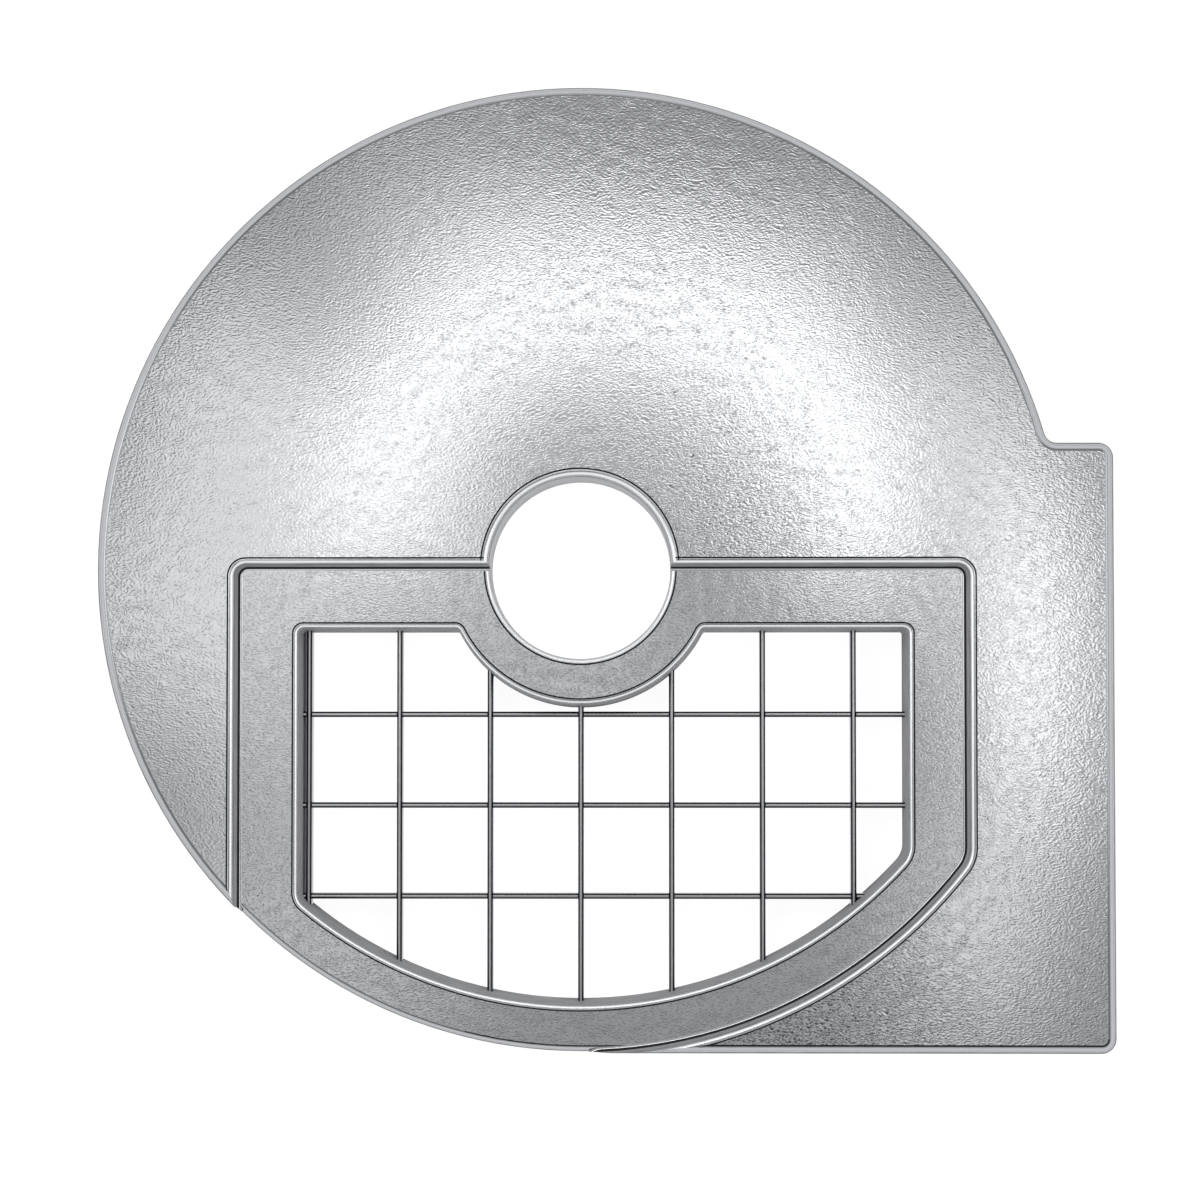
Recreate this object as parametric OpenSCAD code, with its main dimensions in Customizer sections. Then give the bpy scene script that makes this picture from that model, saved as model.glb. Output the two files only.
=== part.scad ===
// Dicing disc of a vegetable cutter: one aluminium casting with a grid of steel blades
// seated in the walls of its window. Origin on the axis of the bore at the underside,
// Z up to the textured face, X to the square side of the casting.

/* [Disc] */
// Diameter of the round rim
disc_d = 205; // [200:0.5:212]
// Height from the underside to the textured face
plate_h = 18; // [16:0.5:22]
// From the bore's axis to the straight side
side_reach = 113; // [110:0.5:120]
// From the bore's axis up to the top of the square shoulder
shoulder_y = 26.5; // [20:0.5:34]
// Radius of the square corners, seen from above
corner_r = 3.2; // [2.9:0.1:6]
// Radius in the notch between rim and shoulder
notch_r = 2.7; // [1.5:0.1:5]
// Rounding of the upper rim
rim_r = 2; // [1:0.1:2.4]
// Rounding of the lower edges
foot_r = 0.8; // [0.4:0.1:1.5]

/* [Hub] */
// Diameter of the bore
bore_d = 38.5; // [34:0.1:42]
// Rounding of the bore's upper edge at the textured face
bore_edge_r = 1.6; // [0.5:0.1:2.2]
// Rounding of the bore's upper edge at the lower floor
boss_edge_r = 1; // [0.5:0.1:1.6]
// Width of the ring of metal round the bore, on the grid side
boss_w = 8.7; // [7:0.1:11]

/* [Recess] */
// Depth of the lower floor below the textured face
recess_depth = 5; // [3:0.1:6]
// Height of the recess's upper wall above the bore's axis
recess_top_y = 1.9; // [0:0.1:3]
// From the rim inwards to the foot of the curved wall
wall_inset = 0.9; // [0.7:0.1:1.2]
// Lean of the recess wall from upright, in degrees
wall_draft = 6; // [2:0.5:10]
// Rounding at the top of the recess wall
wall_top_r = 1.2; // [0.5:0.1:1.5]
// Rounding at the foot of the recess wall
wall_foot_r = 0.9; // [0.4:0.1:1.2]
// Radius of the recess's corners at the foot of the wall
recess_corner_r = 1.2; // [0.6:0.1:3]
// The same radius, where the curved wall meets the straight right side
recess_turn_r = 6; // [0.6:0.1:8]
// Rounding of the rim where the lower floor runs out to it
low_rim_r = 1.4; // [0.8:0.1:1.8]
// Where the curved wall runs out through the lower edge, from the bore's axis
run_out_x = 2; // [0:0.5:6]
// Radius of that run-out
run_out_r = 3; // [2:0.5:5]

/* [Window] */
// Width of the frame at the window's left side
left_frame_w = 10.9; // [9:0.1:12]
// Width of the frame at the window's right side
right_frame_w = 10.3; // [9:0.1:12]
// Width of the frame above the window
top_frame_w = 11.2; // [9:0.1:12]
// Width of the frame along the round rim
rim_frame_w = 8.8; // [8:0.1:10]
// Lean of the window wall from upright, in degrees
window_draft = 3; // [1:0.5:4]
// Rounding of the window's upper edge
window_edge_r = 1; // [0.5:0.1:1.5]
// Rounding of the window's lower edge
window_foot_r = 0.5; // [0.2:0.1:0.8]
// Radius of the window's corners at its narrowest
window_corner_r = 0.4; // [0.3:0.1:2]
// The same radius, where the curved side meets the straight left side
window_left_r = 3; // [0.4:0.1:4]
// The same radius, where the curved side meets the straight right side
window_turn_r = 5; // [0.5:0.1:7]

/* [Grid] */
// Distance between the middles of neighbouring blades
pitch = 19.5; // [18.5:0.1:19.9]
// Thickness of a blade
blade_t = 1.2; // [0.8:0.1:1.5]
// Height of a blade, its rounded top with it
blade_h = 4; // [3:0.1:5]
// Height of the blades' lower edges above the underside
blade_z = 1.5; // [1:0.1:3]
// From the bore's axis to the first row of the long blades
first_row = 31; // [29.5:0.1:32]
// Open width between the last cross blade and the left wall of the window
left_gap = 0.4; // [0.2:0.1:1]
// Open width between the last cross blade and the right wall of the window
right_gap = 10.1; // [8:0.1:12]
// How deep the ends of the blades are seated in the wall
seat = 1.6; // [1.2:0.1:2.2]
// Clearance round a blade in its seat and in its laps
fit = 0.05; // [0.02:0.01:0.1]

/* [Hidden] */
$fn = 90;

cast_colour = [0.72, 0.73, 0.75];
blade_colour = [0.55, 0.56, 0.58];

rim = disc_d / 2;
bore_r = bore_d / 2;
boss_r = bore_r + boss_w;
floor_z = plate_h - recess_depth;
// How far a cutter reaches past the face that it opens
over = 1;
// Chords of the wide arcs and of the small corners, in degrees
wide_step = 4;
corner_step = 15;
// Arcs wider than this are drawn with the wide arcs' chords
wide_r = 20;

// Reach of the recess wall, from the top of its rounding in to its foot
wall_w = recess_depth * tan(wall_draft) + (wall_top_r + wall_foot_r) * tan(45 - wall_draft / 2);
// Reach of the window wall, from the top of its rounding in to its narrowest line
window_w = floor_z * tan(window_draft) + window_edge_r * tan(45 - window_draft / 2);

// The grid's outermost blades and the window round them
grid_x = 3 * pitch;
window_x0 = -(grid_x + blade_t / 2 + left_gap + window_w);
window_x1 = grid_x + blade_t / 2 + right_gap + window_w;
recess_foot_y = recess_top_y - wall_w;
window_y1 = recess_foot_y - top_frame_w;
window_r = rim - rim_frame_w;
recess_x0 = window_x0 - left_frame_w - wall_w;
recess_x1 = window_x1 + right_frame_w + wall_w;
recess_r = rim - wall_inset + wall_w;
recess_y0 = -(rim + 12);

// Height along the circle of radius r at a distance x from the middle
function drop(r, x) = -sqrt(r * r - x * x);

// An outline is a loop of arcs, each [centre x, centre y, radius, turn], joined by tangents.
// It runs with its inside on the left. Turn 1 bends left, round its inside, and -1 bends right.
body_outline = [
    [0, 0, rim, 1],
    [side_reach - corner_r, corner_r - rim, corner_r, 1],
    [side_reach - corner_r, shoulder_y - corner_r, corner_r, 1],
    [sqrt(pow(rim + notch_r, 2) - pow(shoulder_y + notch_r, 2)), shoulder_y + notch_r, notch_r, -1],
];

recess_r2 = recess_corner_r + wall_w;
bend_r2 = recess_turn_r + wall_w;
recess_outline = [
    [recess_x0 + recess_r2, recess_top_y - recess_r2, recess_r2, 1],
    [recess_x0 + recess_r2, recess_y0 + recess_r2, recess_r2, 1],
    [run_out_x - recess_r2, recess_y0 + recess_r2, recess_r2, 1],
    [run_out_x + run_out_r, drop(recess_r + run_out_r, run_out_x + run_out_r), run_out_r, -1],
    [0, 0, recess_r, 1],
    [recess_x1 - bend_r2, drop(recess_r - bend_r2, recess_x1 - bend_r2), bend_r2, 1],
    [recess_x1 - recess_r2, recess_top_y - recess_r2, recess_r2, 1],
];

window_r2 = window_corner_r + window_w;
left_r2 = window_left_r + window_w;
turn_r2 = window_turn_r + window_w;
flare_x = sqrt(pow(boss_r + window_r2, 2) - pow(window_y1 - window_r2, 2));
window_outline = [
    [window_x0 + window_r2, window_y1 - window_r2, window_r2, 1],
    [window_x0 + left_r2, drop(window_r - left_r2, window_x0 + left_r2), left_r2, 1],
    [0, 0, window_r, 1],
    [window_x1 - turn_r2, drop(window_r - turn_r2, window_x1 - turn_r2), turn_r2, 1],
    [window_x1 - window_r2, window_y1 - window_r2, window_r2, 1],
    [flare_x, window_y1 - window_r2, window_r2, 1],
    [0, 0, boss_r, -1],
    [-flare_x, window_y1 - window_r2, window_r2, 1],
];

// Heading of the tangent that runs from arc a to arc b
function heading(a, b) =
    let (dx = b.x - a.x)
    let (dy = b.y - a.y)
    let (side = (b[3] * b.z - a[3] * a.z) / norm([dx, dy]))
    atan2(dy, dx) - asin(max(-1, min(1, side)));

function next(outline, i) = outline[(i + 1) % len(outline)];
function previous(outline, i) = outline[(i + len(outline) - 1) % len(outline)];
function full_turn(angle) = angle - 360 * floor(angle / 360);

// Angle through which the path turns on arc i
function bend(outline, i) =
    let (arc = outline[i])
    let (turned = heading(arc, next(outline, i)) - heading(previous(outline, i), arc))
    full_turn(arc[3] * turned);

// Point of arc a where the path has a given heading, moved outwards by u
function arc_point(a, direction, u = 0) =
    let (r = a.z + a[3] * u)
    [a.x + a[3] * r * sin(direction), a.y - a[3] * r * cos(direction)];

// The outline as points, moved outwards by u
function outline_points(outline, u) = [
    for (i = [0 : len(outline) - 1])
        let (arc = outline[i])
        let (start = heading(previous(outline, i), arc))
        let (turned = bend(outline, i))
        let (steps = ceil(turned / (arc.z > wide_r ? wide_step : corner_step)))
        for (k = [0 : steps])
            arc_point(arc, start + arc[3] * turned * k / steps, u)
];

// Lofts an outline through a list of levels, each [distance outwards, height].
// The ends are fans round a point that sees the whole outline.
module loft(outline, levels, eye) {
    n = len(outline_points(outline, 0));
    m = len(levels);
    rings = [
        for (level = levels)
            for (p = outline_points(outline, level.x))
                [p.x, p.y, level.y]
    ];
    middles = [
        [eye.x, eye.y, levels[0].y],
        [eye.x, eye.y, levels[m - 1].y],
    ];
    walls = [
        for (k = [0 : m - 2])
            for (i = [0 : n - 1])
                let (j = (i + 1) % n)
                let (low = k * n)
                let (high = low + n)
                each [[low + i, high + i, high + j], [low + i, high + j, low + j]]
    ];
    bottom = [for (i = [0 : n - 1]) [m * n, i, (i + 1) % n]];
    last = (m - 1) * n;
    top = [for (i = [0 : n - 1]) [m * n + 1, last + (i + 1) % n, last + i]];
    polyhedron(concat(rings, middles), concat(walls, bottom, top));
}

// Levels along a rounding, from angle from to angle to round its centre
function rounding(centre, r, from, to, steps) = [
    for (k = [0 : steps])
        let (angle = from + (to - from) * k / steps)
        centre + r * [cos(angle), sin(angle)]
];

// A plate in the outline of the casting, with both of its edges rounded
module plate(top, edge_r) {
    foot = rounding([-foot_r, foot_r], foot_r, -90, 0, 3);
    edge = rounding([-edge_r, top - edge_r], edge_r, 0, 90, 5);
    loft(body_outline, concat(foot, edge), [0, 0]);
}

// The space over the lower floor, out to the recess wall, and down past the underside
module recess_space() {
    foot_centre = [-wall_w, floor_z + wall_foot_r];
    top_centre = [0, plate_h - wall_top_r];
    foot = rounding(foot_centre, wall_foot_r, -90, -wall_draft, 3);
    edge = rounding(top_centre, wall_top_r, 180 - wall_draft, 90, 4);
    levels = concat([[-wall_w, -over]], foot, edge, [[0, plate_h + over]]);
    loft(recess_outline, levels, [0, window_y1]);
}

// The space of the window, wider towards the top, with both edges rounded
module window_space() {
    foot_x = window_foot_r * tan(45 + window_draft / 2) - window_w;
    top_centre = [0, floor_z - window_edge_r];
    foot = rounding([foot_x, window_foot_r], window_foot_r, 270, 180 - window_draft, 3);
    edge = rounding(top_centre, window_edge_r, 180 - window_draft, 90, 4);
    levels = concat([[foot_x, -over]], foot, edge, [[0, floor_z + over]]);
    loft(window_outline, levels, [0, -0.8 * window_r]);
}

// Ring that rounds an edge of the bore, open upwards from height z
module bore_rounding(z, r) {
    translate([0, 0, z])
        rotate_extrude()
            difference() {
                translate([bore_r - over, -r])
                    square([r + over, r + over]);
                translate([bore_r + r, -r])
                    circle(r);
            }
}

module cast_plate() {
    color(cast_colour)
        difference() {
            union() {
                difference() {
                    plate(plate_h, rim_r);
                    recess_space();
                    bore_rounding(plate_h, bore_edge_r);
                }
                difference() {
                    plate(floor_z, low_rim_r);
                    bore_rounding(floor_z, boss_edge_r);
                }
            }
            window_space();
            translate([0, 0, -over])
                cylinder(r = bore_r, h = plate_h + 2 * over);
            mirror([0, 0, 1])
                bore_rounding(0, foot_r);
            for (i = [-3 : 3])
                cross_bar(i, fit);
            for (i = [0 : 2])
                long_bar(i, fit);
        }
}

// Distance by which the window wall stands inside its outline at the blades' tops
wall_at_blade = window_w - (blade_z + blade_h) * tan(window_draft);

// Section of a blade with its rounded edge up, grown all round by a clearance
module blade_section(grow) {
    half = blade_t / 2 + grow;
    top = blade_h + grow - half;
    translate([-half, -grow])
        square([2 * half, top + grow]);
    translate([0, top])
        circle(half);
}

// Ends of the cross blade that stands at x: in the boss or the upper wall, and in the curved wall
function cross_top(x) =
    let (on_boss = drop(boss_r + wall_at_blade, min(abs(x), boss_r)))
    (abs(x) < flare_x ? on_boss : window_y1 - wall_at_blade) + seat;
function cross_bottom(x) = drop(window_r - wall_at_blade, x) - seat;

// Ends of the long blade that lies at y, in the straight or the curved wall at either side
function long_left(y) = max(window_x0 + wall_at_blade, drop(window_r - wall_at_blade, y)) - seat;
function long_right(y) = min(window_x1 - wall_at_blade, -drop(window_r - wall_at_blade, y)) + seat;

function column_x(i) = i * pitch;
function row_y(i) = -first_row - i * pitch;

module cross_bar(i, grow = 0) {
    x = column_x(i);
    top = cross_top(x) + grow;
    translate([x, top, blade_z])
        rotate([90, 0, 0])
            linear_extrude(top - cross_bottom(x) + grow)
                blade_section(grow);
}

module long_bar(i, grow = 0) {
    y = row_y(i);
    left = long_left(y) - grow;
    translate([left, y, blade_z])
        rotate([90, 0, 90])
            linear_extrude(long_right(y) - left + grow)
                blade_section(grow);
}

// A blade that stands across the grid, cut from below where it straddles the long blades
module cross_blade(i) {
    slot = blade_t + 2 * fit;
    color(blade_colour)
        difference() {
            cross_bar(i);
            for (k = [0 : 2])
                translate([column_x(i) - blade_t, row_y(k) - slot / 2, blade_z - over])
                    cube([2 * blade_t, slot, blade_h / 2 + over + fit]);
        }
}

// A blade that runs the length of the grid, cut from above for the cross blades
module long_blade(i) {
    slot = blade_t + 2 * fit;
    color(blade_colour)
        difference() {
            long_bar(i);
            for (k = [-3 : 3])
                translate([column_x(k) - slot / 2, row_y(i) - blade_t, blade_z + blade_h / 2])
                    cube([slot, 2 * blade_t, blade_h]);
        }
}

cast_plate();
cross_blade(-3);  // cross_blade_1
cross_blade(-2);  // cross_blade_2
cross_blade(-1);  // cross_blade_3
cross_blade(0);  // cross_blade_4
cross_blade(1);  // cross_blade_5
cross_blade(2);  // cross_blade_6
cross_blade(3);  // cross_blade_7
long_blade(0);  // long_blade_1
long_blade(1);  // long_blade_2
long_blade(2);  // long_blade_3
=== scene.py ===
from math import asin, atan2, ceil, cos, hypot, pi, radians, sin, sqrt, tan

import bpy
from mathutils import Matrix, Vector


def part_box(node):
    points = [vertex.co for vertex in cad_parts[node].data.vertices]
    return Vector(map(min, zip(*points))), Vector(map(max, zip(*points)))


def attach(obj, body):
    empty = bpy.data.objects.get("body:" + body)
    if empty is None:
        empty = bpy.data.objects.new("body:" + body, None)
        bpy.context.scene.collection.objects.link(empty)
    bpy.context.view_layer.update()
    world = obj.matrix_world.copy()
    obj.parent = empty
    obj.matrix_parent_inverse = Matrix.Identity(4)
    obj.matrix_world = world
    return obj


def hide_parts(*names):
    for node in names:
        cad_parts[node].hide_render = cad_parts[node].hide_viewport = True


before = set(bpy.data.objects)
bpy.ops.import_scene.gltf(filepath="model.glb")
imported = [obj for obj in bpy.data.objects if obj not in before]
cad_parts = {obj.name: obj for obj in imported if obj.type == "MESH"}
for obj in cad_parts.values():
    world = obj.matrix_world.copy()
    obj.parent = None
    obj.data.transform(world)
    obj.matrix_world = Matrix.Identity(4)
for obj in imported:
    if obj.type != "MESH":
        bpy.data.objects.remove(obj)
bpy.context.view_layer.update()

# The casting is one piece of aluminium: a disc with a square corner, a lower floor inside
# a leaning wall, and a window through that floor. Every upper edge is a rounded bead.
# It is modelled as the mould would be: two plates on one outline, with the spaces cut out.
MM = 0.001
over = 1 * MM  # how far a cutting tool stands past the face that it cuts

cast_low, cast_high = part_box("cast_plate")
plate_h = cast_high.z
rim = -cast_low.y
side_reach = cast_high.x
shoulder_y = 26.5 * MM
corner_r = 3.2 * MM
notch_r = 2.7 * MM
rim_r = 2 * MM
foot_r = 0.8 * MM
groove_w = 0.34 * MM
groove_d = 0.15 * MM
foot_steps = 4

bore_r = 19.25 * MM
bore_edge_r = 1.6 * MM
boss_edge_r = 1 * MM
boss_r = 27.95 * MM

floor_z = plate_h - 5 * MM
wall_draft = radians(6)
wall_top_r = 1.2 * MM
wall_foot_r = 0.9 * MM
wall_inset = 0.9 * MM
low_rim_r = 1.4 * MM
recess_top_y = 1.9 * MM
recess_corner_r = 1.2 * MM
recess_turn_r = 6 * MM
recess_past_rim = 12 * MM
run_out_x = 2 * MM
run_out_r = 3 * MM

window_draft = radians(3)
window_edge_r = 1 * MM
window_foot_r = 0.5 * MM
window_corner_r = 0.4 * MM
window_left_r = 3 * MM
window_turn_r = 5 * MM
left_frame_w = 10.9 * MM
right_frame_w = 10.3 * MM
top_frame_w = 11.2 * MM
rim_frame_w = 8.8 * MM

pitch = 19.5 * MM
blade_t = 1.2 * MM
left_gap = 0.4 * MM
right_gap = 10.1 * MM

# Reach of each wall, from the top of its rounding in to its foot
wall_lean = tan(wall_draft)
wall_w = (plate_h - floor_z) * wall_lean
wall_w += (wall_top_r + wall_foot_r) * tan(pi / 4 - wall_draft / 2)
window_lean = tan(window_draft)
window_w = floor_z * window_lean + window_edge_r * tan(pi / 4 - window_draft / 2)

grid_x = 3 * pitch + blade_t / 2
window_x0 = -(grid_x + left_gap + window_w)
window_x1 = grid_x + right_gap + window_w
window_y1 = recess_top_y - wall_w - top_frame_w
window_r = rim - rim_frame_w
recess_x0 = window_x0 - left_frame_w - wall_w
recess_x1 = window_x1 + right_frame_w + wall_w
recess_y0 = -rim - recess_past_rim
recess_r = rim - wall_inset + wall_w


def drop(r, x):
    """Height along the lower half of a circle of radius r at x."""
    return -sqrt(r * r - x * x)


# An outline is a loop of arcs, each (centre x, centre y, radius, turn), joined by tangents.
# Turn 1 bends left, round the inside, and -1 bends right.
notch_y = shoulder_y + notch_r
body_arcs = [
    (0, 0, rim, 1),
    (side_reach - corner_r, corner_r - rim, corner_r, 1),
    (side_reach - corner_r, shoulder_y - corner_r, corner_r, 1),
    (sqrt((rim + notch_r) ** 2 - notch_y**2), notch_y, notch_r, -1),
]

recess_r2 = recess_corner_r + wall_w
bend_r2 = recess_turn_r + wall_w
recess_arcs = [
    (recess_x0 + recess_r2, recess_top_y - recess_r2, recess_r2, 1),
    (recess_x0 + recess_r2, recess_y0 + recess_r2, recess_r2, 1),
    (run_out_x - recess_r2, recess_y0 + recess_r2, recess_r2, 1),
    (run_out_x + run_out_r, drop(recess_r + run_out_r, run_out_x + run_out_r), run_out_r, -1),
    (0, 0, recess_r, 1),
    (recess_x1 - bend_r2, drop(recess_r - bend_r2, recess_x1 - bend_r2), bend_r2, 1),
    (recess_x1 - recess_r2, recess_top_y - recess_r2, recess_r2, 1),
]

window_r2 = window_corner_r + window_w
left_r2 = window_left_r + window_w
turn_r2 = window_turn_r + window_w
flare_x = sqrt((boss_r + window_r2) ** 2 - (window_y1 - window_r2) ** 2)
window_arcs = [
    (window_x0 + window_r2, window_y1 - window_r2, window_r2, 1),
    (window_x0 + left_r2, drop(window_r - left_r2, window_x0 + left_r2), left_r2, 1),
    (0, 0, window_r, 1),
    (window_x1 - turn_r2, drop(window_r - turn_r2, window_x1 - turn_r2), turn_r2, 1),
    (window_x1 - window_r2, window_y1 - window_r2, window_r2, 1),
    (flare_x, window_y1 - window_r2, window_r2, 1),
    (0, 0, boss_r, -1),
    (-flare_x, window_y1 - window_r2, window_r2, 1),
]


def heading(a, b):
    """Heading of the tangent that runs from arc a to arc b."""
    dx = b[0] - a[0]
    dy = b[1] - a[1]
    side = (b[3] * b[2] - a[3] * a[2]) / hypot(dx, dy)
    return atan2(dy, dx) - asin(max(-1, min(1, side)))


def on_arc(arc, direction):
    """Point of an arc where the path has a given heading."""
    x, y, r, turn = arc
    return Vector((x + turn * r * sin(direction), y - turn * r * cos(direction), 0))


def select_only(*pieces):
    """Selects these pieces and makes the first the active one."""
    bpy.ops.object.select_all(action="DESELECT")
    for piece in pieces:
        piece.select_set(True)
    bpy.context.view_layer.objects.active = pieces[0]


wide_r = 15 * MM
wide_step = radians(2)
corner_step = radians(7.5)


def draw_outline(name, arcs, height):
    """Draws a flat face: a point is swung round each arc and pulled straight to the next."""
    bpy.ops.object.select_all(action="DESELECT")
    bpy.ops.mesh.primitive_plane_add(size=MM)
    outline = bpy.context.object
    outline.name = name
    bpy.ops.object.mode_set(mode="EDIT")
    bpy.ops.mesh.select_mode(type="VERT")
    bpy.ops.mesh.merge(type="CENTER")
    starts = [heading(arcs[i - 1], arc) for i, arc in enumerate(arcs)]
    place = on_arc(arcs[0], starts[0])
    bpy.ops.transform.translate(value=place + Vector((0, 0, height)))
    for i, arc in enumerate(arcs):
        x, y, r, turn = arc
        following = (i + 1) % len(arcs)
        turned = turn * (starts[following] - starts[i]) % (2 * pi)
        steps = ceil(turned / (wide_step if r > wide_r else corner_step))
        centre = (x, y, height)
        bpy.ops.mesh.spin(steps=steps, angle=-turn * turned, center=centre, axis=(0, 0, 1))
        place = on_arc(arcs[following], starts[following]) - on_arc(arc, starts[following])
        bpy.ops.mesh.extrude_vertices_move(TRANSFORM_OT_translate={"value": place})
    bpy.ops.mesh.select_all(action="SELECT")
    bpy.ops.mesh.remove_doubles(threshold=0.01 * MM)
    bpy.ops.mesh.edge_face_add()
    bpy.ops.object.mode_set(mode="OBJECT")
    return outline


def draw_circle(name, r, height):
    """Draws a flat round face."""
    bpy.ops.object.select_all(action="DESELECT")
    place = (0, 0, height)
    bpy.ops.mesh.primitive_circle_add(vertices=144, radius=r, fill_type="NGON", location=place)
    circle = bpy.context.object
    circle.name = name
    bpy.ops.object.transform_apply(location=True)
    return circle


def rounding(r, start, end, steps=9):
    """Steps (inwards, onwards) round an arc of radius r, from one heading to another.
    A heading of 0 runs inwards over the face, and one of 90 degrees runs out of it."""
    sign = 1 if end > start else -1
    angles = [start + (end - start) * k / steps for k in range(steps + 1)]
    return [
        (sign * r * (sin(b) - sin(a)), sign * r * (cos(a) - cos(b)))
        for a, b in zip(angles, angles[1:])
    ]


def pull(solid, lift, steps):
    """Lifts a flat face into a solid by lift, then insets its end face through the steps."""
    select_only(solid)
    bpy.ops.object.mode_set(mode="EDIT")
    bpy.ops.mesh.select_mode(type="FACE")
    bpy.ops.mesh.select_all(action="SELECT")
    bpy.ops.mesh.extrude_region_move(TRANSFORM_OT_translate={"value": (0, 0, lift)})
    bpy.ops.object.mode_set(mode="OBJECT")
    end = max(solid.data.polygons, key=lambda f: len(f.vertices) * f.select)
    kept = end.index
    bpy.ops.object.mode_set(mode="EDIT")
    bpy.ops.mesh.select_all(action="SELECT")
    bpy.ops.mesh.normals_make_consistent(inside=False)
    bpy.ops.mesh.select_all(action="DESELECT")
    bpy.ops.object.mode_set(mode="OBJECT")
    solid.data.polygons[kept].select = True
    bpy.ops.object.mode_set(mode="EDIT")
    for inwards, onwards in steps:
        bpy.ops.mesh.inset(thickness=inwards, depth=onwards)
    bpy.ops.object.mode_set(mode="OBJECT")
    return solid


def combine(solid, tool, operation):
    """Cuts a tool out of a solid, or joins it on, and takes the tool away."""
    select_only(solid)
    change = solid.modifiers.new(operation, "BOOLEAN")
    change.operation = operation
    change.object = tool
    change.solver = "MANIFOLD"
    bpy.ops.object.modifier_apply(modifier=change.name)
    bpy.data.objects.remove(tool)


def grown(arcs, width):
    """The same outline, this much further out."""
    return [(x, y, r + turn * width, turn) for x, y, r, turn in arcs]


# A fine groove parts each bead round an opening from the face beside it
groove_down = [(groove_w / 2, groove_d), (groove_w / 2, -groove_d)]


def plate(name, top, edge_r):
    """A plate on the casting's outline, with both of its edges rounded."""
    solid = draw_outline(name, body_arcs, foot_r)
    pull(solid, top - edge_r - foot_r, rounding(edge_r, pi / 2, 0))
    select_only(solid)
    bpy.ops.object.mode_set(mode="EDIT")
    bpy.ops.mesh.select_all(action="DESELECT")
    bpy.ops.object.mode_set(mode="OBJECT")
    foot = min(solid.data.polygons, key=lambda f: f.normal.z)
    foot.select = True
    bpy.ops.object.mode_set(mode="EDIT")
    for inwards, onwards in rounding(foot_r, pi / 2, 0, foot_steps):
        bpy.ops.mesh.inset(thickness=inwards, depth=onwards)
    bpy.ops.object.mode_set(mode="OBJECT")
    return solid


def bore(height, edge_r):
    """The bore's space, with its upper edge rounded where it meets a face at this height."""
    tool = draw_circle("bore", bore_r + edge_r + groove_w, height + over)
    flare = groove_down + rounding(edge_r, 0, pi / 2)
    return pull(tool, -over, flare + [(0, height - edge_r + over)])


casting = plate("casting", plate_h, rim_r)
recess = draw_outline("recess", grown(recess_arcs, groove_w), plate_h + over)
lean = pi / 2 - wall_draft
wall_run = plate_h - floor_z - (wall_top_r + wall_foot_r) * (1 - cos(lean))
recess_steps = (
    groove_down
    + rounding(wall_top_r, 0, lean)
    + [(wall_run * wall_lean, wall_run)]
    + rounding(wall_foot_r, lean, 0)
    + [(0, floor_z + over)]
)
combine(casting, pull(recess, -over, recess_steps), "DIFFERENCE")
combine(casting, bore(plate_h, bore_edge_r), "DIFFERENCE")

low_plate = plate("low_plate", floor_z, low_rim_r)
combine(low_plate, bore(floor_z, boss_edge_r), "DIFFERENCE")
combine(casting, low_plate, "UNION")

lean = pi / 2 - window_draft
window = draw_outline("window", grown(window_arcs, groove_w), floor_z + over)
window_run = floor_z - window_edge_r * (1 - cos(lean))
window_rest = [(window_run * window_lean, window_run + over)]
window_steps = groove_down + rounding(window_edge_r, 0, lean) + window_rest
combine(casting, pull(window, -over, window_steps), "DIFFERENCE")

# Their lower edges are eased with tools that come up from below and taper off inside the hole
taper = [(0.3 * MM, over)]
foot_x = window_foot_r * tan(pi / 4 + window_draft / 2) - window_w
window_foot = draw_outline("window_foot", grown(window_arcs, foot_x), -over)
foot_end = pi / 2 - 2 * window_draft
easing = rounding(window_foot_r, 0, foot_end, foot_steps)
combine(casting, pull(window_foot, over, easing + taper), "DIFFERENCE")

bore_foot = draw_circle("bore_foot", bore_r + foot_r, -over)
easing = rounding(foot_r, 0, pi / 2 - window_draft, foot_steps)
combine(casting, pull(bore_foot, over, easing + taper), "DIFFERENCE")

# Each blade's ends sit in closed sockets in the window's wall, as steel bars do that the
# aluminium was poured round. A socket is a little wider than its blade.
fit = 0.05 * MM
blades = sorted(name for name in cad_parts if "blade" in name)
for name in blades:
    blade_low, blade_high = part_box(name)
    middle = (blade_low + blade_high) / 2
    size = blade_high - blade_low + Vector((fit, fit, fit)) * 2
    bpy.ops.object.select_all(action="DESELECT")
    bpy.ops.mesh.primitive_cube_add(size=1, location=middle)
    socket = bpy.context.object
    socket.scale = size
    bpy.ops.object.transform_apply(location=True, scale=True)
    bpy.ops.object.mode_set(mode="EDIT")
    bpy.ops.mesh.select_mode(type="EDGE")
    bpy.ops.mesh.select_all(action="DESELECT")
    bpy.ops.object.mode_set(mode="OBJECT")
    along = 0 if size.x > size.y else 1
    for edge in socket.data.edges:
        a, b = (socket.data.vertices[i].co for i in edge.vertices)
        edge.select = a.z > middle.z and b.z > middle.z and abs(a[along] - b[along]) > over
    bpy.ops.object.mode_set(mode="EDIT")
    nearly_half = 0.495
    bpy.ops.mesh.bevel(offset=min(size.x, size.y) * nearly_half, segments=6)
    bpy.ops.object.mode_set(mode="OBJECT")
    combine(casting, socket, "DIFFERENCE")

# Flat faces keep flat shading up to the beads, and the beads run smoothly from one face to
# the next, as the mould leaves them.
select_only(casting)
bpy.ops.object.shade_smooth_by_angle(angle=radians(24))
even = casting.modifiers.new("even", "WEIGHTED_NORMAL")
even.weight = 100
even.keep_sharp = True
bpy.ops.object.modifier_apply(modifier=even.name)


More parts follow.
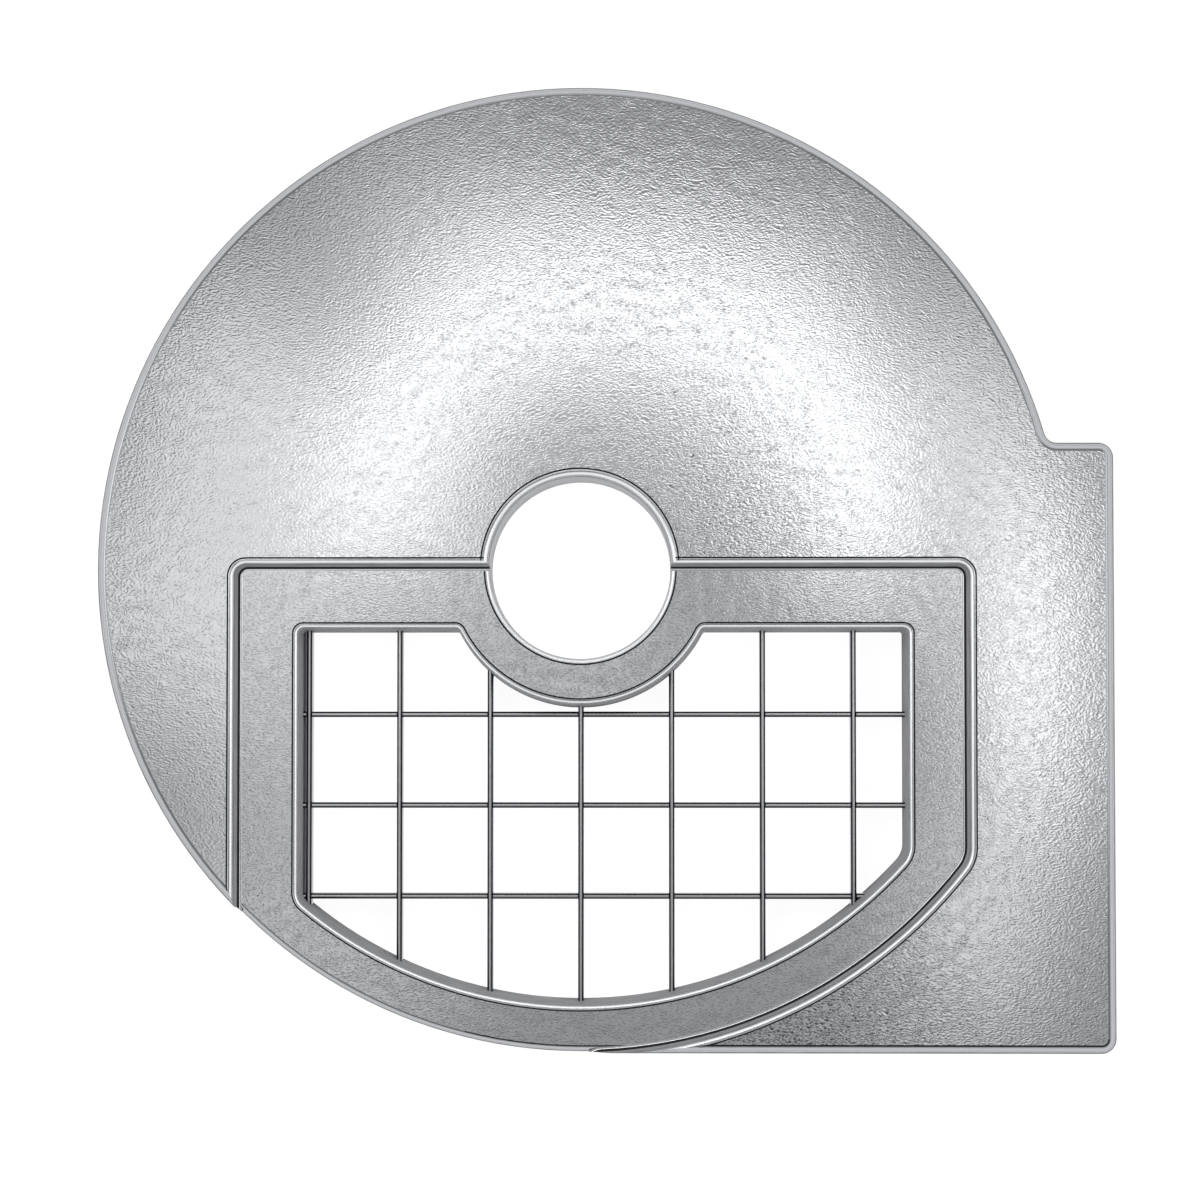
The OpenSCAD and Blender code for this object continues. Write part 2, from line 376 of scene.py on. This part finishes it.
class Finish:
    """A metal's material, and the few kinds of node that these finishes are made from."""

    def __init__(self, name, colour, roughness):
        self.material = bpy.data.materials.new(name)
        self.material.use_nodes = True
        self.nodes = self.material.node_tree.nodes
        self.links = self.material.node_tree.links
        self.shader = self.nodes["Principled BSDF"]
        self.shader.inputs["Metallic"].default_value = 1
        self.shader.inputs["Base Color"].default_value = (*colour, 1)
        self.shader.inputs["Roughness"].default_value = roughness
        self.place = self.nodes.new("ShaderNodeTexCoord").outputs["Object"]

    def node(self, kind, link=None, **values):
        """Adds a node, with the links and the values of its inputs by their names."""
        made = self.nodes.new(kind)
        for name, value in values.items():
            made.inputs[name.replace("_", " ")].default_value = value
        if link:
            for name, output in link.items():
                self.links.new(output, made.inputs[name])
        return made

    def dull(self):
        """Lets the metal scatter light evenly, with hardly a shine."""
        self.shader.inputs["Metallic"].default_value = 0
        self.shader.inputs["IOR"].default_value = 1.05

    def stretched(self, scale, place=None):
        """Coordinates stretched for a pattern with a grain."""
        mapping = self.node("ShaderNodeMapping", {"Vector": place or self.place}, Scale=scale)
        return mapping.outputs["Vector"]

    def wander(self, size, distance):
        """Coordinates pushed aside by waves this wide, so that a grain bends to and fro."""
        source = {"Vector": self.place}
        waves = self.node("ShaderNodeTexNoise", source, Scale=1 / size, Detail=0)
        push = self.nodes.new("ShaderNodeVectorMath")
        push.operation = "MULTIPLY_ADD"
        self.links.new(waves.outputs["Color"], push.inputs[0])
        push.inputs[1].default_value = (distance, distance, distance)
        self.links.new(self.place, push.inputs[2])
        return push.outputs[0]

    def noise(self, size, detail=2, distortion=0.0, place=None):
        """Noise whose features are about this many metres wide."""
        return self.node(
            "ShaderNodeTexNoise",
            {"Vector": place or self.place},
            Scale=1 / size,
            Detail=detail,
            Distortion=distortion,
        ).outputs["Fac"]

    def spread(self, value, low, high, to_low, to_high):
        """A value moved from one range to another, and kept inside it."""
        made = self.node("ShaderNodeMapRange", {"Value": value})
        made.inputs["From Min"].default_value = low
        made.inputs["From Max"].default_value = high
        made.inputs["To Min"].default_value = to_low
        made.inputs["To Max"].default_value = to_high
        return made.outputs["Result"]

    def combined(self, first, operation, second):
        """Two values put together."""
        made = self.nodes.new("ShaderNodeMath")
        made.operation = operation
        self.links.new(first, made.inputs[0])
        self.links.new(second, made.inputs[1])
        return made.outputs[0]

    def near(self, x, y, distance):
        """Goes from 1 at a place on the plate to 0 this far from it."""
        away = self.nodes.new("ShaderNodeVectorMath")
        away.operation = "DISTANCE"
        self.links.new(self.place, away.inputs[0])
        away.inputs[1].default_value = (x, y, plate_h)
        return self.spread(away.outputs["Value"], 0, distance, 1, 0)

    def emboss(self, height, depth):
        """Gives the surface a relief of this depth in metres."""
        bump = self.node("ShaderNodeBump", {"Height": height}, Strength=1, Distance=depth)
        self.links.new(bump.outputs["Normal"], self.shader.inputs["Normal"])

    def tint(self, value, dark, light):
        """Blends the colour from dark to light."""
        blend = self.nodes.new("ShaderNodeMix")
        blend.data_type = "RGBA"
        self.links.new(value, blend.inputs[0])
        blend.inputs[6].default_value = (*dark, 1)
        blend.inputs[7].default_value = (*light, 1)
        self.links.new(blend.outputs[2], self.shader.inputs["Base Color"])


# The textured face as it left the mould: fine wrinkles that wander, deeper at the right of the
# bore, and deepest in the wedge between the recess and the straight edge. Their hollows are
# painted dark as shade, darker still at the right of the bore and in the wedge.
peel = Finish("cast_peel", (0.64, 0.65, 0.665), 0.18)
wander = peel.wander(3 * MM, 1.7 * MM)
grain = peel.stretched((0.65, 1.15, 1), wander)
wrinkles = peel.noise(0.38 * MM, detail=0.3, distortion=0.3, place=grain)
wedge = peel.near(45 * MM, -104 * MM, 46 * MM)
bore_side = peel.near(28 * MM, 10 * MM, 34 * MM)
depth = peel.combined(peel.spread(wedge, 0, 1, 1, 2.4), "ADD", peel.spread(bore_side, 0, 1, 0, 0.9))
peel.emboss(peel.combined(wrinkles, "MULTIPLY", depth), 0.044 * MM)
# Painted shade: the wrinkles' hollows go dark, and the wedge and the face right of the bore darker
# still
shaded_wrinkles = peel.combined(wrinkles, "SUBTRACT", peel.spread(wedge, 0, 1, 0, 0.26))
shaded_wrinkles = peel.combined(shaded_wrinkles, "SUBTRACT", peel.spread(bore_side, 0, 1, 0, 0.15))
peel.tint(peel.spread(shaded_wrinkles, 0, 0.26, 0, 1), (0.06, 0.061, 0.062), (0.665, 0.675, 0.69))

# The rounded beads along every edge, rubbed smooth and bright, and the outer rim's, the same
# finish painted darker as shade.
bead = Finish("cast_bead", (0.82, 0.83, 0.84), 0.2)
bead.emboss(bead.noise(1.5 * MM), 0.02 * MM)
# A darker copy of the bead finish, painting shade on the outer rim
rim_bead = Finish("cast_rim", (0.52, 0.53, 0.545), 0.24)
rim_bead.emboss(rim_bead.noise(1.5 * MM), 0.02 * MM)

# The outer side as it left the mould's wall, with a fine even grain that nothing has rubbed
# down.
side = Finish("cast_side", (0.5, 0.505, 0.515), 0.42)
sand = side.noise(0.7 * MM)
side.emboss(sand, 0.06 * MM)
side.tint(side.spread(sand, 0.35, 0.6, 0, 1), (0.44, 0.445, 0.455), (0.55, 0.555, 0.565))

# The walls of the recess and the window, drawn dull in fine lines as they left the mould and
# painted dark grey as their shade, which also darkens the steep lower turn of the beads, and
# the bore's wall, turned to size and lighter.
wall = Finish("cast_wall", (0.4, 0.405, 0.415), 0.45)
wall.dull()
drawn = wall.noise(0.7 * MM, distortion=0.2, place=wall.stretched((0.15, 0.15, 1.6)))
wall.emboss(drawn, 0.03 * MM)
wall.tint(wall.spread(drawn, 0.35, 0.65, 0, 1), (0.28, 0.283, 0.288), (0.42, 0.424, 0.43))
turned = Finish("turned_wall", (0.7, 0.705, 0.715), 0.45)
turned.dull()
rings = turned.noise(0.7 * MM, distortion=0.1, place=turned.stretched((0.05, 0.05, 1.6)))
turned.emboss(rings, 0.03 * MM)
turned.tint(turned.spread(rings, 0.35, 0.65, 0, 1), (0.54, 0.545, 0.555), (0.72, 0.725, 0.735))

# The lower floor and the underside as cast, finer and a little darker than the face, with
# flow marks from the pour.
floor_finish = Finish("cast_floor", (0.6, 0.61, 0.625), 0.2)
wander = floor_finish.wander(3 * MM, 1.7 * MM)
grain = floor_finish.stretched((0.6, 1.2, 1), wander)
marks = floor_finish.noise(0.34 * MM, detail=0, distortion=0.3, place=grain)
floor_finish.emboss(marks, 0.038 * MM)
marks = floor_finish.spread(marks, 0.2, 0.5, 0, 1)
floor_finish.tint(marks, (0.47, 0.475, 0.485), (0.61, 0.62, 0.635))

# A near-black finish of painted shade for the fine grooves between the beads and the faces, and
# for the other creases where shade falls.
crease_shade = Finish("cast_crease_shade", (0.03, 0.03, 0.032), 0.5)
crease_shade.emboss(crease_shade.noise(0.4 * MM), 0.05 * MM)

# Every face of the casting takes its finish from where it lies and how it leans. Its lean is
# the height of its normal: 1 on a level face, 0 on an upright one.
finishes = (bead, peel, floor_finish, wall, crease_shade, rim_bead, turned, side)
casting.data.materials.clear()
for finish in finishes:
    casting.data.materials.append(finish.material)
flat = 0.9999
nearly_flat = 0.98
foot_lean = 0.88
groove_lean = (0.6, 0.8)
outer_wall_lean = 0.6
inner_wall_lean = 0.5
bead_foot_lean = 0.3
upright = 0.15
level = 0.02 * MM
foot_h = 0.8 * wall_foot_r
bore_edge = bore_r + 2 * MM
outside_r = 88 * MM
straight_edge_y = 4 * MM - rim
for face in casting.data.polygons:
    x, y, z = face.center
    lean = face.normal.z
    from_axis = hypot(x, y)
    over_floor = z - floor_z
    from_face = min(abs(plate_h - z), abs(over_floor))
    outward = from_axis > outside_r and x * face.normal.x + y * face.normal.y > 0
    # Painted shade goes beside the straight edge, at the foot of the walls, under the beads and in
    # the grooves
    if outward:
        in_crease_shade = lean > nearly_flat and y < straight_edge_y
    else:
        at_foot = 0 < over_floor < foot_h and lean < foot_lean
        under_bead = lean < bead_foot_lean and from_axis > bore_edge
        grooved = groove_lean[0] < lean < groove_lean[1] and from_face < groove_d
        in_crease_shade = upright < lean and (at_foot or under_bead) or grooved
    if lean > flat and abs(plate_h - z) < level:
        finish = peel
    elif lean < -flat or lean > flat and abs(over_floor) < level:
        finish = floor_finish
    # Painted shade: these faces take the near-black crease finish
    elif in_crease_shade:
        finish = crease_shade
    elif outward and lean < upright:
        finish = side
    # Steep faces take the wall finish, whose dark grey paints the shade on the walls and on the
    # beads' lower turn
    elif abs(lean) < (outer_wall_lean if outward else inner_wall_lean):
        in_bore = from_axis < bore_r + MM and lean < upright
        finish = turned if in_bore else wall
    else:
        finish = rim_bead if outward else bead
    face.material_index = finishes.index(finish)
casting.name = "casting"
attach(casting, "root")
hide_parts("cast_plate")

# The blades are ground steel bars. Their tone is painted by which way the surface faces: a
# painted highlight along the rounded top and painted shade at the turn to the flanks.
steel = Finish("blade_steel", (0.5, 0.51, 0.53), 0.28)
surface = steel.nodes["Texture Coordinate"].outputs["Normal"]
facing = steel.node("ShaderNodeSeparateXYZ", {"Vector": surface}).outputs["Z"]
# Painted highlight on the top, and painted shade where the top turns into the flanks
painted_top_light = steel.spread(facing, 0.9, 0.99, 0, 1)
painted_flank_shade = steel.spread(facing, 0.05, 0.3, 0.55, 0)
steel.tint(steel.combined(painted_top_light, "MAXIMUM", painted_flank_shade), (0.02, 0.02, 0.022), (0.68, 0.69, 0.71))
steel.emboss(steel.noise(2 * MM), 0.06 * MM)
for name in blades:
    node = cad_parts[name]
    node.data.materials.clear()
    node.data.materials.append(steel.material)

# The floor is a wide white sheet that the disc lies on. The camera, and the metal that mirrors
# it, see it as plain white with a soft shadow, and everything else as dull white paper.
bpy.ops.object.select_all(action="DESELECT")
bpy.ops.mesh.primitive_plane_add(size=6, location=(0, 0, -0.05 * MM))
ground = bpy.context.object
ground.name = "ground"
sheet = bpy.data.materials.new("ground_sheet")
sheet.use_nodes = True
sheet_nodes = sheet.node_tree.nodes
sheet_links = sheet.node_tree.links
sheet_nodes.clear()
out = sheet_nodes.new("ShaderNodeOutputMaterial")
seen_by = sheet_nodes.new("ShaderNodeLightPath")
paper = sheet_nodes.new("ShaderNodeBsdfDiffuse")
paper.inputs["Color"].default_value = (0.8, 0.8, 0.8, 1)
shadow_catcher = sheet_nodes.new("ShaderNodeBsdfDiffuse")
shadow_catcher.inputs["Color"].default_value = (0.25, 0.25, 0.25, 1)
glow = sheet_nodes.new("ShaderNodeEmission")
glow.inputs["Strength"].default_value = 0.9
white = sheet_nodes.new("ShaderNodeAddShader")
sheet_links.new(shadow_catcher.outputs[0], white.inputs[0])
sheet_links.new(glow.outputs[0], white.inputs[1])
sharp = seen_by.outputs["Is Camera Ray"]
for ray in ("Is Glossy Ray", "Is Transmission Ray"):
    either = sheet_nodes.new("ShaderNodeMath")
    either.operation = "MAXIMUM"
    sheet_links.new(sharp, either.inputs[0])
    sheet_links.new(seen_by.outputs[ray], either.inputs[1])
    sharp = either.outputs[0]
choice = sheet_nodes.new("ShaderNodeMixShader")
sheet_links.new(sharp, choice.inputs[0])
sheet_links.new(paper.outputs[0], choice.inputs[1])
sheet_links.new(white.outputs[0], choice.inputs[2])
sheet_links.new(choice.outputs[0], out.inputs["Surface"])
ground.data.materials.append(sheet)

# The room is a soft dome: dim at the horizon, bright at the sides, dark overhead and grey
# straight above the disc. The face mirrors the grey, and its wrinkles pick up the dark.
room = bpy.data.worlds.new("room")
bpy.context.scene.world = room
room.use_nodes = True
room_nodes = room.node_tree.nodes
room_links = room.node_tree.links
direction = room_nodes.new("ShaderNodeTexCoord")
parts = room_nodes.new("ShaderNodeSeparateXYZ")
room_links.new(direction.outputs["Generated"], parts.inputs[0])
ramp = room_nodes.new("ShaderNodeValToRGB")
room_links.new(parts.outputs["Z"], ramp.inputs[0])
room_links.new(ramp.outputs[0], room_nodes["Background"].inputs["Color"])
# Sine of the height over the horizon, and how bright the room is there
dome = (
    (0.0, 0.3),
    (0.06, 0.35),
    (0.14, 1.0),
    (0.68, 1.0),
    (0.8, 0.5),
    (0.9, 0.1),
    (0.96, 0.12),
    (0.982, 0.5),
)
bluish = 1.02
stops = ramp.color_ramp.elements
while len(stops) < len(dome):
    stops.new(0.5)
for stop, (height, grey) in zip(stops, dome):
    stop.position = height
    stop.color = (grey, grey, grey * bluish, 1)

# The lamps hang over the disc, each at the place that its part of the upper face mirrors to
# the camera: an arch round the bore, a strip over the square side, and soft ones at the left,
# the right, the top and the low parts, on the frame and on the ring of metal round the bore.
camera_foot = Vector((15.4 * MM, -34.2 * MM, 0))
camera_height = plate_h + 700 * MM
lamp_height = plate_h + 180 * MM
# A mirrored ray goes on past the face, and by the lamps' height it has moved on by this share
# of its way from the camera
share = (lamp_height - plate_h) / (camera_height - plate_h)


def lamp(name, x, y, width, length, radiance):
    """A round or oval soft lamp that the upper face shows at x, y, this wide and long there."""
    data = bpy.data.lights.new(name, "AREA")
    data.shape = "ELLIPSE"
    data.size = width * (1 + share)
    data.size_y = length * (1 + share)
    area = pi / 4 * data.size * data.size_y
    data.energy = radiance * pi * area
    made = bpy.data.objects.new(name, data)
    spot = Vector((x, y, 0)) * (1 + share) - camera_foot * share
    made.location = (spot.x, spot.y, lamp_height)
    made.visible_camera = False
    bpy.context.scene.collection.objects.link(made)


# The arch is a half ring of lamps, brightest at its crown and brighter at its right foot than
# at its left
arch_x = 6 * MM
arch_y = 5 * MM
arch_r = 53 * MM
arch_band = 25 * MM
arch_lamps = 11
for k in range(arch_lamps):
    angle = pi * k / (arch_lamps - 1)
    x = arch_x + arch_r * cos(angle)
    y = arch_y + arch_r * sin(angle)
    radiance = 1.46 + 0.36 * sin(angle) + 0.22 * cos(angle)
    lamp("arch_%d" % k, x, y, arch_band, arch_band, radiance)
lamp("strip", 95 * MM, -17 * MM, 18 * MM, 86 * MM, 1.58)
lamp("left", -88 * MM, -8 * MM, 40 * MM, 46 * MM, 0.62)
lamp("upper_left", -75 * MM, 35 * MM, 38 * MM, 52 * MM, 0.67)
lamp("upper_right", 83 * MM, 36 * MM, 26 * MM, 40 * MM, 0.6)
lamp("top_left", -32 * MM, 76 * MM, 54 * MM, 27 * MM, 0.38)
lamp("top_right", 54 * MM, 64 * MM, 28 * MM, 24 * MM, 0.38)
lamp("frame_left", -64 * MM, -26 * MM, 16 * MM, 60 * MM, 0.8)
lamp("low_left", -57 * MM, -80 * MM, 70 * MM, 30 * MM, 0.5)
lamp("low_right", 82 * MM, -76 * MM, 30 * MM, 34 * MM, 0.7)
lamp("bore_left", -27 * MM, 6 * MM, 13 * MM, 32 * MM, 0.95)
lamp("ring", 0, -25 * MM, 60 * MM, 18 * MM, 0.65)
# Three more light the rounded edge at the sides and the top
lamp("right_edge", 152 * MM, 0, 40 * MM, 130 * MM, 1.5)
lamp("left_edge", -152 * MM, 22 * MM, 50 * MM, 130 * MM, 1.6)
lamp("top_edge", 0, 152 * MM, 180 * MM, 46 * MM, 0.45)

# The camera looks down from well above the disc, a little from the front right, with the grid
# of blades in the lower half of the picture.
camera_data = bpy.data.cameras.new("camera")
camera = bpy.data.objects.new("camera", camera_data)
bpy.context.scene.collection.objects.link(camera)
bpy.context.scene.camera = camera
camera_place = camera_foot + Vector((0, 0, camera_height))
aim = Vector((4.3 * MM, -6.9 * MM, plate_h))
back = (camera_place - aim).normalized()
right = Vector((0, 1, 0)).cross(back).normalized()
up = back.cross(right)
turn = Matrix((right, up, back)).transposed().to_4x4()
camera.matrix_world = Matrix.Translation(camera_place) @ turn
camera_data.sensor_width = 36
camera_data.lens = 99.4
camera_data.clip_start = 0.01

bpy.context.scene.view_settings.view_transform = "Standard"
